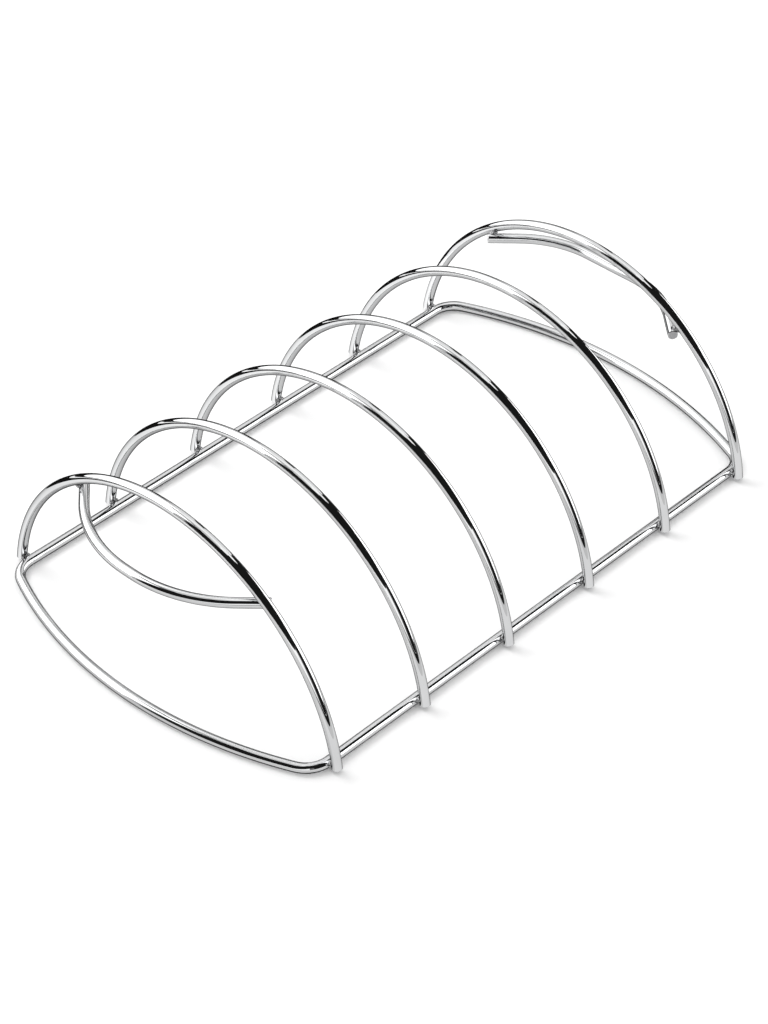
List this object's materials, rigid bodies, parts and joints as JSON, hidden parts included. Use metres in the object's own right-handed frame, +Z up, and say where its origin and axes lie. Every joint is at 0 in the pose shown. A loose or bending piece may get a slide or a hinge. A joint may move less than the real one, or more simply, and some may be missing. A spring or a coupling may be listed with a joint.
{
  "type": "toast rack",
  "caption": "Wire toast rack: half-round hoops welded across a bowed base loop form open slots, with a bowed finger grip at each end.",
  "frame": {"origin": "on the surface that the rack stands on, under its middle", "axes": "+X along the two rails, from the near grip to the far grip; +Y across them, to the left seen from the near end; +Z up"},
  "size_m": [0.2292, 0.1384, 0.0613],
  "materials": {
    "plated_wire": "bright plated drawn wire, mirror polished, with fine lines along it",
    "weld_metal": "fused metal pressed out of a resistance weld, plated over, dull in its creases"
  },
  "bodies": {
    "root": {"base_frame": "plated_wire", "hoop_1": "plated_wire", "hoop_2": "plated_wire", "hoop_3": "plated_wire", "hoop_4": "plated_wire", "hoop_5": "plated_wire", "hoop_6": "plated_wire", "grip_near": "plated_wire", "grip_far": "plated_wire", "foot_weld_1_left": "weld_metal", "foot_weld_1_right": "weld_metal", "foot_weld_2_left": "weld_metal", "foot_weld_2_right": "weld_metal", "foot_weld_3_left": "weld_metal", "foot_weld_3_right": "weld_metal", "foot_weld_4_left": "weld_metal", "foot_weld_4_right": "weld_metal", "foot_weld_5_left": "weld_metal", "foot_weld_5_right": "weld_metal", "foot_weld_6_left": "weld_metal", "foot_weld_6_right": "weld_metal", "grip_weld_near_left": "weld_metal", "grip_weld_near_right": "weld_metal", "grip_weld_far_left": "weld_metal", "grip_weld_far_right": "weld_metal"}
  },
  "joints": []
}
